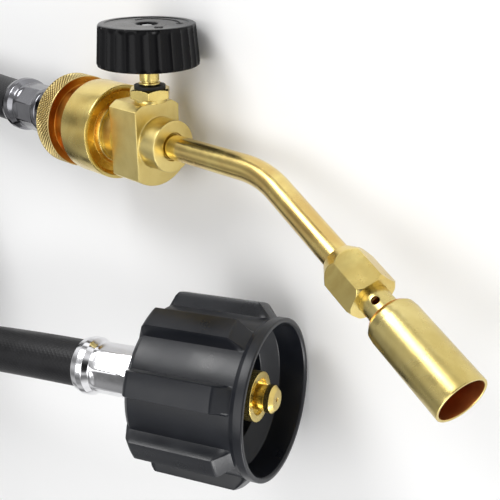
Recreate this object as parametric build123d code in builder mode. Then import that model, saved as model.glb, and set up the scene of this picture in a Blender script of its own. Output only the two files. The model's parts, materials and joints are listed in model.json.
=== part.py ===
from build123d import *
import math
import os

# Propane torch head with its hose and tank connector, in millimetres.
# The torch lies on its side: +X runs along the valve body towards the burner,
# +Y runs along the knob's axis towards the knob, +Z is up from the surface.

# ---- Driving dimensions: valve body and inlet, measured along X from the knob's axis ----
KNOB_RADIUS = 16.2
AXIS_HEIGHT = KNOB_RADIUS
BODY_RADIUS = 14.4
BODY_REAR = -10.0
BODY_FRONT = 3.2
BODY_FLAT = 9.05
NECK_RADIUS = 9.3
BOSS_RADIUS = 8.4
BOSS_END = 10.4
SPIGOT_RADIUS = 6.0
SPIGOT_END = -22.4
GAS_BORE = 1.5

COUPLING_RADIUS = 15.9
COUPLING_FRONT = -14.9
COUPLING_WALL = -18.9
COUPLING_REAR = -28.4
THREAD_RADIUS = 12.7
SEAL_THICKNESS = 1.5

GROOVE_RADIUS = 13.2
FLANGE_FRONT = -35.6
FLANGE_REAR = -42.7
FLANGE_RADIUS = 15.95
FERRULE_START = -54.5
FERRULE_LENGTH = 21.7
BARB_RADIUS = 4.6
HOSE_RADIUS = 8.0

# ---- Driving dimensions: knob axis, measured along Y from the body's axis ----
SPOT_FACE = 13.0
GLAND_BORE = 2.7
GLAND_FLOOR = 7.5
GLAND_COLLAR = 14.2
GLAND_TOP = 17.4
GLAND_ACROSS_FLATS = 12.0
STEM_LOWER = 1.8
STEM_RADIUS = 3.1
RUNNING = 0.05
KNOB_BOTTOM = 24.7
KNOB_TOP = 37.4
KNOB_TOP_RADIUS = 15.1
KNOB_FLUTES = 28
STEM_SHANK = 2.4
KNOB_RECESS_FLOOR = 35.2

# ---- Driving dimensions: bent feed tube and burner, measured along the burner's axis ----
TUBE_RADIUS = 4.0
TUBE_BORE = 3.0
TUBE_START = 4.4
TUBE_CORNER = 49.17
BEND_RADIUS = 37.3
BEND_ANGLE = 24.7
BEND_LEAN = 35.5
HEX_START = 30.6
HEX_SHOULDER = 35.2
HEX_END = 46.0
HEX_ACROSS_FLATS = 12.9
JET_SEAT = 37.6
NECK_START = 43.5
NECK_END = 52.1
FLAME_HOLDER = 60.0
BURNER_NECK = 4.3
BURNER_RADIUS = 7.2
BURNER_WALL = 0.8
BURNER_MOUTH = 80.4

# ---- Driving dimensions: tank connector, measured along its axis from the front rim ----
RIM_RADIUS = 25.0
RIM_BORE = 23.2
BAR_RADIUS = 28.7
BAR_COUNT = 8
BAR_START = 19
BAR_WIDTH = 12.7
BAR_MIDDLE = 24.0
BAR_SLOPE = 75
NUT_LENGTH = 40.0
NUT_THREAD = 16.7
NUT_BACK_WALL = 28.0
NUT_BORE = 10.6
NIPPLE_RADIUS = 8.0
RING_RADIUS = 9.6
RING_LENGTH = 4.0
TANK_FERRULE_LENGTH = 25.7
TANK_PITCH = 18.5
TANK_YAW = 4.5

# ---- Where the three axes lie in the part's frame ----
bend_side = Vector(
    0,
    -math.cos(math.radians(BEND_LEAN)),
    math.sin(math.radians(BEND_LEAN)),
)
burner_dir = Vector(math.cos(math.radians(BEND_ANGLE)), 0, 0) + bend_side * math.sin(
    math.radians(BEND_ANGLE)
)
bend_setback = BEND_RADIUS * math.tan(math.radians(BEND_ANGLE / 2))
burner_start = Vector(TUBE_CORNER, 0, 0) + burner_dir * bend_setback
mouth = burner_start + burner_dir * BURNER_MOUTH
torch_rear = FERRULE_START - FERRULE_LENGTH
torch_front = mouth.X + BURNER_RADIUS * math.sqrt(1 - burner_dir.X**2)
torch_low_side = mouth.Y - BURNER_RADIUS * math.sqrt(1 - burner_dir.Y**2)
cross = Vector(
    -(torch_rear + torch_front) / 2,
    -(KNOB_TOP + torch_low_side) / 2,
    AXIS_HEIGHT,
)
X_AXIS = Vector(1, 0, 0)
Y_AXIS = Vector(0, 1, 0)
bend_end = cross + burner_start

inlet_plane = Plane(origin=cross, x_dir=X_AXIS, z_dir=(0, -1, 0))
stem_plane = Plane(origin=cross, x_dir=Y_AXIS, z_dir=X_AXIS)
burner_plane = Plane(
    origin=bend_end, x_dir=burner_dir, z_dir=X_AXIS.cross(burner_dir)
)

tank_dir = Vector(
    math.cos(math.radians(TANK_PITCH)) * math.cos(math.radians(TANK_YAW)),
    math.cos(math.radians(TANK_PITCH)) * math.sin(math.radians(TANK_YAW)),
    -math.sin(math.radians(TANK_PITCH)),
)
tank_rim = Vector(34.9, -66.9, 24.7)
tank_plane = Plane(
    origin=tank_rim, x_dir=tank_dir, z_dir=tank_dir.cross(Vector(0, 0, 1))
)
nut_back = -NUT_LENGTH
ring_start = nut_back - 0.5
tank_ferrule_start = ring_start - RING_LENGTH


# ---- Helpers ----
def turn(axis_plane, outline, mode=Mode.ADD):
    """Revolve (distance, radius) points about the plane's x axis."""
    with BuildSketch(axis_plane) as profile:
        with BuildLine():
            Polyline(*outline, close=True)
        make_face()
    revolve(
        profile.sketch,
        axis=Axis(axis_plane.origin, axis_plane.x_dir),
        mode=mode,
    )


def across(axis_plane, distance):
    """Plane square to the axis, at a distance along it."""
    return Plane(
        origin=axis_plane.origin + axis_plane.x_dir * distance,
        x_dir=axis_plane.z_dir,
        z_dir=axis_plane.x_dir,
    )


def drill(start, direction, radius, depth):
    """Cut a round hole from a point along a direction."""
    with BuildSketch(Plane(origin=start, z_dir=direction)) as hole:
        Circle(radius)
    extrude(hole.sketch, amount=depth, mode=Mode.SUBTRACT)


def ring(axis_plane, start, end, inner, outer):
    """Turn a plain ring or washer."""
    turn(axis_plane, [(start, inner), (start, outer), (end, outer), (end, inner)])


def hexagon(axis_plane, start, end, across_flats):
    """Extrude a hexagon along the axis."""
    with BuildSketch(across(axis_plane, start)) as hexagon_face:
        RegularPolygon(across_flats / 2, 6, major_radius=False)
    extrude(hexagon_face.sketch, amount=end - start)


def crimped_ferrule(axis_plane, start, length):
    """Ferrule with an eight-sided crimp and a flared bell at the hose end."""
    rear = start - length
    crimp_flat = 8.5
    crimp_front = start - 2.5
    crimp_rear = rear + 6.7
    turn(
        axis_plane,
        [
            (start, BARB_RADIUS),
            (start, 7.6),
            (start - 0.8, 8.4),
            (crimp_rear - 1.5, 8.4),
            (rear + 3.5, 9.9),
            (rear + 1.9, 9.9),
            (rear, 9.0),
            (rear, BARB_RADIUS),
        ],
    )
    with BuildSketch(across(axis_plane, crimp_rear)) as crimp:
        RegularPolygon(crimp_flat, 8, major_radius=False)
        Circle(BARB_RADIUS, mode=Mode.SUBTRACT)
    extrude(crimp.sketch, amount=crimp_front - crimp_rear)


def fillet_radii(points):
    """Bend radii that use 0.45 of the shorter run beside each corner."""
    radii = []
    for before, corner, after in zip(points, points[1:], points[2:]):
        run_in = Vector(*corner) - Vector(*before)
        run_out = Vector(*after) - Vector(*corner)
        half_turn = math.radians(run_in.get_angle(run_out) / 2)
        shorter = min(run_in.length, run_out.length)
        radii.append(0.45 * shorter / math.tan(half_turn))
    return radii


def finish(piece, name):
    """Label a finished piece and write it."""
    piece.part.label = name
    export_step(piece.part, f"parts/{name}.step")


os.makedirs("parts", exist_ok=True)

# ---- Valve body: bar with three flats, inlet spigot, outlet boss and drilled gas way ----
with BuildPart() as valve_body:
    turn(
        inlet_plane,
        [
            (SPIGOT_END, 0),
            (SPIGOT_END, SPIGOT_RADIUS),
            (COUPLING_FRONT, SPIGOT_RADIUS),
            (COUPLING_FRONT, NECK_RADIUS),
            (BODY_REAR, NECK_RADIUS),
            (BODY_REAR, BODY_RADIUS - 0.5),
            (BODY_REAR + 0.5, BODY_RADIUS),
            (BODY_FRONT - 0.5, BODY_RADIUS),
            (BODY_FRONT, BODY_RADIUS - 0.5),
            (BODY_FRONT, BOSS_RADIUS),
            (BOSS_END - 0.6, BOSS_RADIUS),
            (BOSS_END, BOSS_RADIUS - 0.6),
            (BOSS_END, 0),
        ],
    )
    flat_centre = (BODY_REAR + BODY_FRONT) / 2
    for side in (-1, 1):
        with Locations(cross + Vector(flat_centre, 0, side * (BODY_FLAT + 5))):
            Box(BODY_FRONT - BODY_REAR, 2.2 * BODY_RADIUS, 10, mode=Mode.SUBTRACT)
    with Locations(cross + Vector(flat_centre, SPOT_FACE + 5, 0)):
        Box(BODY_FRONT - BODY_REAR, 10, 2.2 * BODY_RADIUS, mode=Mode.SUBTRACT)
    turn(
        stem_plane,
        [
            (0, 0),
            (0, 0.7),
            (1.2, 0.7),
            (2.2, 1.7),
            (2.2, 2.4),
            (4.2, 2.4),
            (4.2, STEM_LOWER + RUNNING),
            (GLAND_FLOOR, STEM_LOWER + RUNNING),
            (GLAND_FLOOR, GLAND_BORE),
            (SPOT_FACE + 1, GLAND_BORE),
            (SPOT_FACE + 1, 0),
        ],
        mode=Mode.SUBTRACT,
    )
    drill(cross + X_AXIS * SPIGOT_END, X_AXIS, GAS_BORE, 13.5)
    gas_turn = cross + X_AXIS * -9.5
    drill(gas_turn, Vector(7.6, 3.2, 0), 0.8, 8.2)
    drill(cross, X_AXIS, 0.9, TUBE_START)
    drill(cross + X_AXIS * TUBE_START, X_AXIS, TUBE_RADIUS, BOSS_END)
    drill(cross + X_AXIS * (BOSS_END - 1.0), X_AXIS, TUBE_RADIUS + 0.4, 2)
finish(valve_body, "valve_body")

# ---- Inlet coupling: round cup with an internal thread and a dished front face ----
with BuildPart() as inlet_coupling:
    turn(
        inlet_plane,
        [
            (COUPLING_FRONT, SPIGOT_RADIUS),
            (COUPLING_FRONT, 10.2),
            (COUPLING_FRONT - 1.6, 11.0),
            (COUPLING_FRONT - 1.6, 13.6),
            (COUPLING_FRONT, 14.6),
            (COUPLING_FRONT, COUPLING_RADIUS - 0.6),
            (COUPLING_FRONT - 0.6, COUPLING_RADIUS),
            (COUPLING_REAR + 0.6, COUPLING_RADIUS),
            (COUPLING_REAR, COUPLING_RADIUS - 0.6),
            (COUPLING_REAR, THREAD_RADIUS),
            (COUPLING_WALL, THREAD_RADIUS),
            (COUPLING_WALL, SPIGOT_RADIUS),
        ],
    )
finish(inlet_coupling, "inlet_coupling")

seal_face = COUPLING_WALL - SEAL_THICKNESS
with BuildPart() as inlet_seal:
    ring(inlet_plane, seal_face, COUPLING_WALL, SPIGOT_RADIUS, 11.5)
finish(inlet_seal, "inlet_seal")

with BuildPart() as inlet_filter:
    ring(inlet_plane, SPIGOT_END - 1.0, SPIGOT_END, 0.3, 4.5)
finish(inlet_filter, "inlet_filter")

# ---- Hose fitting: male thread, groove, knurled flange and barb in one turned piece ----
with BuildPart() as hose_fitting:
    turn(
        inlet_plane,
        [
            (seal_face, SPIGOT_RADIUS + 0.3),
            (seal_face, THREAD_RADIUS - 0.8),
            (seal_face - 0.8, THREAD_RADIUS - 0.05),
            (COUPLING_REAR, THREAD_RADIUS - 0.05),
            (COUPLING_REAR, GROOVE_RADIUS),
            (FLANGE_FRONT, GROOVE_RADIUS),
            (FLANGE_FRONT, FLANGE_RADIUS - 0.6),
            (FLANGE_FRONT - 0.6, FLANGE_RADIUS),
            (FLANGE_REAR + 0.6, FLANGE_RADIUS),
            (FLANGE_REAR, FLANGE_RADIUS - 0.6),
            (FLANGE_REAR, 7.0),
            (FERRULE_START, 7.0),
            (FERRULE_START, BARB_RADIUS),
            (torch_rear + 2, BARB_RADIUS),
            (torch_rear + 2, 2.6),
            (SPIGOT_END - 3, 2.6),
            (SPIGOT_END - 3, SPIGOT_RADIUS + 0.3),
        ],
    )
finish(hose_fitting, "hose_fitting")

with BuildPart() as torch_ferrule:
    crimped_ferrule(inlet_plane, FERRULE_START, FERRULE_LENGTH)
finish(torch_ferrule, "torch_ferrule")

# ---- Stem seal: washer, packing, gland nut and dust washer round the stem ----
stem_hole = STEM_LOWER + RUNNING
with BuildPart() as packing_washer:
    ring(stem_plane, GLAND_FLOOR, GLAND_FLOOR + 0.5, stem_hole, GLAND_BORE)
finish(packing_washer, "packing_washer")

packing_top = GLAND_FLOOR + 2.7
with BuildPart() as stem_packing:
    ring(stem_plane, GLAND_FLOOR + 0.5, packing_top, stem_hole, GLAND_BORE)
finish(stem_packing, "stem_packing")

with BuildPart() as gland_nut:
    hexagon(stem_plane, GLAND_COLLAR, GLAND_TOP, GLAND_ACROSS_FLATS)
    gland_corner = GLAND_ACROSS_FLATS / 2 / math.cos(math.radians(30))
    turn(
        stem_plane,
        [
            (GLAND_COLLAR, 0),
            (GLAND_COLLAR, GLAND_ACROSS_FLATS / 2),
            (GLAND_COLLAR + 0.6, gland_corner),
            (GLAND_TOP - 0.6, gland_corner),
            (GLAND_TOP, GLAND_ACROSS_FLATS / 2),
            (GLAND_TOP, 0),
        ],
        mode=Mode.INTERSECT,
    )
    ring(stem_plane, packing_top, SPOT_FACE, 0, GLAND_BORE)
    ring(stem_plane, SPOT_FACE, GLAND_COLLAR, 0, 5.2)
    drill(cross + Y_AXIS * packing_top, Y_AXIS, stem_hole, GLAND_TOP)
finish(gland_nut, "gland_nut")

dust_top = GLAND_TOP + 0.9
with BuildPart() as dust_washer:
    ring(stem_plane, GLAND_TOP, dust_top, stem_hole, 5.0)
finish(dust_washer, "dust_washer")

# ---- Valve stem: needle, threaded part, small flange, groove and the shank in the knob ----
with BuildPart() as valve_stem:
    flange_bottom = dust_top + 0.3
    turn(
        stem_plane,
        [
            (1.35, 0),
            (1.35, 0.7),
            (2.05, 1.4),
            (4.5, 1.4),
            (4.5, STEM_LOWER),
            (flange_bottom, STEM_LOWER),
            (flange_bottom, 3.4),
            (flange_bottom + 0.6, 3.4),
            (flange_bottom + 0.6, 2.6),
            (flange_bottom + 1.1, 2.6),
            (flange_bottom + 1.1, STEM_RADIUS),
            (KNOB_BOTTOM - 0.1, STEM_RADIUS),
            (KNOB_BOTTOM - 0.1, STEM_SHANK),
            (KNOB_RECESS_FLOOR - 0.2, STEM_SHANK),
            (KNOB_RECESS_FLOOR - 0.2, 0),
        ],
    )
    screw_hole = cross + Y_AXIS * (KNOB_RECESS_FLOOR - 0.2)
    drill(screw_hole, Y_AXIS * -1, 1.2, 7)
finish(valve_stem, "valve_stem")

# ---- Knob: tapered, shallow flutes, a recess below and one above for the screw ----
with BuildPart() as knob:
    turn(
        stem_plane,
        [
            (KNOB_BOTTOM, STEM_SHANK + RUNNING),
            (KNOB_BOTTOM, 6.5),
            (KNOB_BOTTOM + 1.0, 7.0),
            (KNOB_BOTTOM + 1.0, 13.6),
            (KNOB_BOTTOM, 14.2),
            (KNOB_BOTTOM, KNOB_RADIUS - 0.5),
            (KNOB_BOTTOM + 0.5, KNOB_RADIUS),
            (KNOB_TOP - 0.8, KNOB_TOP_RADIUS),
            (KNOB_TOP, KNOB_TOP_RADIUS - 0.8),
            (KNOB_TOP, 3.6),
            (KNOB_RECESS_FLOOR, 3.6),
            (KNOB_RECESS_FLOOR, STEM_SHANK + RUNNING),
        ],
    )
    flute_radius = 1.0
    flute_middle = (KNOB_BOTTOM + KNOB_TOP) / 2
    taper = math.degrees(math.atan((KNOB_RADIUS - KNOB_TOP_RADIUS) / (KNOB_TOP - KNOB_BOTTOM)))
    flute_circle = (KNOB_RADIUS + KNOB_TOP_RADIUS) / 2 + 0.62
    with Locations(across(stem_plane, flute_middle)):
        with PolarLocations(flute_circle, KNOB_FLUTES):
            Cylinder(flute_radius, 20, rotation=(0, -taper, 0), mode=Mode.SUBTRACT)
finish(knob, "knob")

with BuildPart() as knob_screw:
    turn(
        stem_plane,
        [
            (KNOB_RECESS_FLOOR, 0),
            (KNOB_RECESS_FLOOR, 2.9),
            (KNOB_RECESS_FLOOR + 0.9, 2.9),
            (KNOB_RECESS_FLOOR + 1.4, 2.2),
            (KNOB_RECESS_FLOOR + 1.4, 0),
        ],
    )
    turn(
        stem_plane,
        [
            (KNOB_RECESS_FLOOR - 6, 0),
            (KNOB_RECESS_FLOOR - 6, 1.1),
            (KNOB_RECESS_FLOOR, 1.1),
            (KNOB_RECESS_FLOOR, 0),
        ],
    )
    with Locations(across(stem_plane, KNOB_RECESS_FLOOR + 1.4)):
        Box(0.8, 6, 1.2, mode=Mode.SUBTRACT)
finish(knob_screw, "knob_screw")

# ---- Bent feed tube, from the outlet boss to the jet housing ----
with BuildPart() as feed_tube:
    tube_points = [
        cross + Vector(TUBE_START, 0, 0),
        cross + Vector(TUBE_CORNER, 0, 0),
        bend_end + burner_dir * (JET_SEAT - 3.0),
    ]
    with BuildLine():
        FilletPolyline(*tube_points, radius=BEND_RADIUS)
    with BuildSketch(Plane(origin=tube_points[0], z_dir=X_AXIS)):
        Circle(TUBE_RADIUS)
        Circle(TUBE_BORE, mode=Mode.SUBTRACT)
    sweep()
finish(feed_tube, "feed_tube")

# ---- Jet housing: hexagon with a long tapered rear end ----
with BuildPart() as jet_housing:
    hexagon(burner_plane, HEX_START, HEX_END, HEX_ACROSS_FLATS)
    hex_corner = HEX_ACROSS_FLATS / 2 / math.cos(math.radians(30))
    turn(
        burner_plane,
        [
            (HEX_START, 0),
            (HEX_START, TUBE_RADIUS + 0.7),
            (HEX_SHOULDER, hex_corner),
            (HEX_END - 0.9, hex_corner),
            (HEX_END, hex_corner - 0.9),
            (HEX_END, 0),
        ],
        mode=Mode.INTERSECT,
    )
    tube_end = JET_SEAT - 3.0
    turn(
        burner_plane,
        [
            (HEX_START, 0),
            (HEX_START, TUBE_RADIUS),
            (tube_end, TUBE_RADIUS),
            (tube_end, 2.0),
            (JET_SEAT, 2.0),
            (JET_SEAT, 3.0),
            (NECK_START, 3.0),
            (NECK_START, BURNER_NECK),
            (HEX_END, BURNER_NECK),
            (HEX_END, 0),
        ],
        mode=Mode.SUBTRACT,
    )
finish(jet_housing, "jet_housing")

with BuildPart() as jet_filter:
    ring(burner_plane, JET_SEAT, JET_SEAT + 0.8, 0.3, 3.0)
finish(jet_filter, "jet_filter")

with BuildPart() as jet_orifice:
    turn(
        burner_plane,
        [
            (JET_SEAT + 0.8, 1.4),
            (JET_SEAT + 0.8, 3.0),
            (NECK_START, 3.0),
            (NECK_START, 1.8),
            (NECK_START + 2.4, 1.2),
            (NECK_START + 2.4, 0.3),
            (NECK_START + 1.2, 0.3),
            (NECK_START, 1.4),
        ],
    )
finish(jet_orifice, "jet_orifice")

# ---- Burner tube: necked rear end with air holes, rounded shoulder and open mouth ----
neck_bore = BURNER_NECK - BURNER_WALL
burner_bore = BURNER_RADIUS - BURNER_WALL
shoulder_end = NECK_END + 3.5
with BuildPart() as burner_tube:
    with BuildSketch(burner_plane):
        with BuildLine():
            Polyline((NECK_END, neck_bore), (NECK_START, neck_bore))
            Polyline((NECK_START, neck_bore), (NECK_START, BURNER_NECK), (NECK_END, BURNER_NECK))
            ThreePointArc(
                (NECK_END, BURNER_NECK),
                (NECK_END + 1.1, BURNER_RADIUS - 0.9),
                (shoulder_end, BURNER_RADIUS),
            )
            Polyline(
                (shoulder_end, BURNER_RADIUS),
                (BURNER_MOUTH - 0.2, BURNER_RADIUS),
                (BURNER_MOUTH, BURNER_RADIUS - 0.2),
                (BURNER_MOUTH, burner_bore),
                (shoulder_end, burner_bore),
            )
            ThreePointArc(
                (shoulder_end, burner_bore),
                (NECK_END + 1.5, burner_bore - 1.0),
                (NECK_END, neck_bore),
            )
        make_face()
    revolve(axis=Axis(bend_end, burner_dir))
    air_hole_plane = across(burner_plane, NECK_END - 3.0)
    for quarter in range(4):
        hole_angle = math.radians(45 + 90 * quarter)
        hole_dir = air_hole_plane.x_dir * math.cos(hole_angle)
        hole_dir += air_hole_plane.y_dir * math.sin(hole_angle)
        drill(air_hole_plane.origin + hole_dir * 2, hole_dir, 1.1, 4)
finish(burner_tube, "burner_tube")

with BuildPart() as flame_holder:
    ring(burner_plane, FLAME_HOLDER, FLAME_HOLDER + 2, 0, burner_bore)
    with Locations(across(burner_plane, FLAME_HOLDER + 1)):
        Cylinder(1.5, 4, mode=Mode.SUBTRACT)
        with PolarLocations(4.2, 6):
            Cylinder(1.1, 4, mode=Mode.SUBTRACT)
finish(flame_holder, "flame_holder")

# ---- Tank nut: hand wheel with grip bars, thin front rim and internal thread ----
with BuildPart() as tank_nut:
    with BuildSketch(across(tank_plane, nut_back)) as bars:
        with PolarLocations(BAR_MIDDLE, BAR_COUNT, start_angle=BAR_START):
            Trapezoid(BAR_WIDTH, 2 * (BAR_RADIUS - BAR_MIDDLE), BAR_SLOPE, rotation=-90)
    extrude(bars.sketch, amount=NUT_LENGTH - 3)
    turn(
        tank_plane,
        [
            (nut_back - 1, 0),
            (nut_back - 1, RIM_RADIUS - 2.8),
            (nut_back + 3.6, BAR_RADIUS),
            (-8.5, BAR_RADIUS),
            (-3.8, RIM_RADIUS - 1.0),
            (-3.8, 0),
        ],
        mode=Mode.INTERSECT,
    )
    turn(
        tank_plane,
        [
            (nut_back, 0),
            (nut_back, RIM_RADIUS - 2.6),
            (nut_back + 2.2, RIM_RADIUS - 0.6),
            (-3.0, RIM_RADIUS - 0.6),
            (-3.0, 0),
        ],
    )
    turn(
        tank_plane,
        [
            (-4.0, 0),
            (-4.0, RIM_RADIUS - 0.6),
            (-2.6, RIM_RADIUS),
            (-0.5, RIM_RADIUS),
            (0, RIM_RADIUS - 0.5),
            (0, 0),
        ],
    )
    turn(
        tank_plane,
        [
            (0, 0),
            (0, RIM_BORE + 0.4),
            (-0.6, RIM_BORE),
            (-9.0, RIM_BORE - 0.4),
            (-13.0, NUT_THREAD),
            (-NUT_BACK_WALL, NUT_THREAD),
            (-NUT_BACK_WALL, NUT_BORE),
            (nut_back, NUT_BORE),
            (nut_back, 0),
        ],
        mode=Mode.SUBTRACT,
    )
finish(tank_nut, "tank_nut")

with BuildPart() as thermal_bushing:
    ring(tank_plane, nut_back, -NUT_BACK_WALL, NIPPLE_RADIUS + RUNNING, NUT_BORE)
finish(thermal_bushing, "thermal_bushing")

# ---- Tank nipple: probe, collar, shoulder, shaft and barb in one turned piece ----
tank_rear = tank_ferrule_start - TANK_FERRULE_LENGTH
with BuildPart() as tank_nipple:
    turn(
        tank_plane,
        [
            (0, 0.65),
            (0, 3.3),
            (-1.0, 4.4),
            (-3.0, 4.4),
            (-3.0, 3.9),
            (-7.2, 3.9),
            (-7.2, 5.6),
            (-5.6, 5.6),
            (-5.6, 7.2),
            (-6.2, 7.8),
            (-24.0, 7.8),
            (-24.0, 12.6),
            (-27.6, 12.6),
            (-27.6, NIPPLE_RADIUS),
            (tank_ferrule_start, NIPPLE_RADIUS),
            (tank_ferrule_start, BARB_RADIUS),
            (tank_rear + 2, BARB_RADIUS),
            (tank_rear + 2, 2.6),
            (-8.0, 2.6),
            (-6.0, 0.65),
        ],
    )
finish(tank_nipple, "tank_nipple")

with BuildPart() as retaining_ring:
    turn(
        tank_plane,
        [
            (ring_start, NIPPLE_RADIUS),
            (ring_start, RING_RADIUS - 0.8),
            (ring_start - 0.8, RING_RADIUS),
            (tank_ferrule_start + 0.8, RING_RADIUS),
            (tank_ferrule_start, RING_RADIUS - 0.8),
            (tank_ferrule_start, NIPPLE_RADIUS),
        ],
    )
finish(retaining_ring, "retaining_ring")

with BuildPart() as tank_ferrule:
    crimped_ferrule(tank_plane, tank_ferrule_start, TANK_FERRULE_LENGTH)
finish(tank_ferrule, "tank_ferrule")

# ---- Hose: a run from the torch, a put-away coil and a run to the tank connector ----
COIL_CENTRE = Vector(-262.0, -58.0, 0)
COIL_RADIUS = 80.0
COIL_FLOOR = 8.1
COIL_PITCH = 16.2
COIL_TURNS = 2.58
COIL_START = 80.0

torch_hose_end = cross + X_AXIS * torch_rear
tank_hose_end = tank_rim + tank_dir * tank_rear


def coil_point(turns):
    """Point on the coil's helix after a number of turns."""
    angle = math.radians(COIL_START + 360 * turns)
    height = COIL_FLOOR + COIL_PITCH * turns
    return COIL_CENTRE + Vector(
        COIL_RADIUS * math.cos(angle), COIL_RADIUS * math.sin(angle), height
    )


def coil_heading(turns):
    """Level direction of the hose on the coil after a number of turns."""
    angle = math.radians(COIL_START + 90 + 360 * turns)
    return Vector(math.cos(angle), math.sin(angle), 0)


coil_entry = coil_point(0)
coil_exit = coil_point(COIL_TURNS)
torch_run_points = [
    tuple(torch_hose_end),
    (-152.0, torch_hose_end.Y, torch_hose_end.Z),
    tuple(coil_entry - coil_heading(0) * 42),
    tuple(coil_entry),
]
tank_run_points = [
    tuple(coil_exit),
    tuple(coil_exit + coil_heading(COIL_TURNS) * 55 + Vector(0, 0, 2)),
    (-132.0, -98.0, 60.0),
    tuple(tank_hose_end - tank_dir * 48),
    tuple(tank_hose_end),
]


def hose_run(points):
    """Sweep the hose's section along straight runs joined by tangent arcs."""
    radii = fillet_radii(points)
    first_run = Vector(*points[1]) - Vector(*points[0])
    with BuildLine() as route:
        FilletPolyline(*points, radius=radii)
    with BuildSketch(Plane(origin=points[0], z_dir=first_run)) as section:
        Circle(HOSE_RADIUS)
    sweep(section.sketch, path=route.wires()[0])
    return radii, route.wires()[0].length


with BuildPart() as torch_hose:
    torch_radii, torch_length = hose_run(torch_run_points)
finish(torch_hose, "torch_hose")

with BuildPart() as tank_hose:
    tank_radii, tank_length = hose_run(tank_run_points)
finish(tank_hose, "tank_hose")

coil_vertical = Plane(origin=COIL_CENTRE, x_dir=(0, 0, 1), z_dir=X_AXIS)
coil_top = COIL_FLOOR + COIL_PITCH * COIL_TURNS + HOSE_RADIUS
coil_inner = COIL_RADIUS - HOSE_RADIUS - 0.5
coil_outer = COIL_RADIUS + HOSE_RADIUS + 0.5
with BuildPart() as hose_coil:
    turn(
        coil_vertical,
        [
            (0.1, coil_inner + 4),
            (0.1, coil_outer - 4),
            (4.1, coil_outer),
            (coil_top - 4, coil_outer),
            (coil_top, coil_outer - 4),
            (coil_top, coil_inner + 4),
            (coil_top - 4, coil_inner),
            (4.1, coil_inner),
        ],
    )
finish(hose_coil, "hose_coil")

section_area = math.pi * HOSE_RADIUS**2
coil_length = COIL_TURNS * math.hypot(2 * math.pi * COIL_RADIUS, COIL_PITCH)
print("torch run bend radii", [round(radius) for radius in torch_radii])
print("tank run bend radii", [round(radius) for radius in tank_radii])
print("torch run volume ratio", round(torch_hose.part.volume / (section_area * torch_length), 4))
print("tank run volume ratio", round(tank_hose.part.volume / (section_area * tank_length), 4))
print("hose length", round(torch_length + coil_length + tank_length))
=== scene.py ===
import json
import math

import bmesh
import bpy
import numpy as np
from mathutils import Matrix, Vector


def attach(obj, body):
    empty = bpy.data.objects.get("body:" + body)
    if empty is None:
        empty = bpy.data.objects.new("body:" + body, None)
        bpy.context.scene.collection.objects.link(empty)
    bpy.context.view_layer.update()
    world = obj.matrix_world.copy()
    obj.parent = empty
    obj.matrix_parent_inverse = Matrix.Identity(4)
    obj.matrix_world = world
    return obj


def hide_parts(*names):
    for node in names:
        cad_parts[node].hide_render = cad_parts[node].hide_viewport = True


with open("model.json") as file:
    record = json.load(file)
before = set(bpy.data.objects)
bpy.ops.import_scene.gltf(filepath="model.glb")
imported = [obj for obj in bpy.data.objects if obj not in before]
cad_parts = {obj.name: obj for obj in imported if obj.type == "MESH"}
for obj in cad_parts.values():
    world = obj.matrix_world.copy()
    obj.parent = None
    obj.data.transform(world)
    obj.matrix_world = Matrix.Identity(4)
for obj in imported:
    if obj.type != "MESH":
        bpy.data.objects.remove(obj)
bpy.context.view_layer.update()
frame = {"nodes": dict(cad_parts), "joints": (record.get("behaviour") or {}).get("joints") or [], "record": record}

MM = 0.001

# ---- The four axes of the object, in the frame of the CAD model, in metres ----
JOINTS = {joint["name"]: joint for joint in frame["joints"]}
MOUNTS = {mount["name"]: mount for mount in frame["record"]["mounts"]}
CROSS = Vector(JOINTS["knob_turn"]["pos_m"])
X_AXIS = Vector((1, 0, 0))
Y_AXIS = Vector((0, 1, 0))
Z_AXIS = Vector((0, 0, 1))
BURNER_DIR = Vector(MOUNTS["burner_outside"]["axis"]).normalized()
BURNER_MOUNT_AT = 68.0 * MM
BEND_END = Vector(MOUNTS["burner_outside"]["pos_m"]) - BURNER_DIR * BURNER_MOUNT_AT
TANK_DIR = Vector(MOUNTS["tank_socket"]["axis"]).normalized()
TANK_RIM = Vector(MOUNTS["tank_socket"]["pos_m"])


# ---- Camera ----
CAMERA_PLACE = CROSS + Vector((203.7, 75.3, 168.7)) * MM
CAMERA_RIGHT = Vector((0.7256, 0.0, -0.6881))
CAMERA_BACK = Vector((0.6311, 0.3984, 0.6655))
CAMERA_LENS = 60.0
SENSOR_WIDTH = 36.0


def make_camera():
    data = bpy.data.cameras.new("camera")
    data.lens = CAMERA_LENS
    data.sensor_width = SENSOR_WIDTH
    data.clip_start = 0.01
    data.clip_end = 50.0
    camera = bpy.data.objects.new("camera", data)
    bpy.context.scene.collection.objects.link(camera)
    back = CAMERA_BACK.normalized()
    up = back.cross(CAMERA_RIGHT).normalized()
    right = up.cross(back)
    turn = Matrix((right, up, back)).transposed().to_4x4()
    camera.matrix_world = Matrix.Translation(CAMERA_PLACE) @ turn
    bpy.context.scene.camera = camera


# ---- Mesh helpers ----
def link(name, data):
    piece = bpy.data.objects.new(name, data)
    bpy.context.scene.collection.objects.link(piece)
    return piece


def axis_frame(origin, along):
    """Origin, axis and two directions square to it, the first as near +Z as it can be."""
    side = Z_AXIS - along * Z_AXIS.dot(along)
    if side.length < 0.1:
        side = X_AXIS - along * X_AXIS.dot(along)
    side.normalize()
    return origin, along, side, along.cross(side)


INLET = axis_frame(CROSS, X_AXIS)
STEM = axis_frame(CROSS, Y_AXIS)
BURNER = axis_frame(BEND_END, BURNER_DIR)
TANK = axis_frame(TANK_RIM, TANK_DIR)


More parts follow.
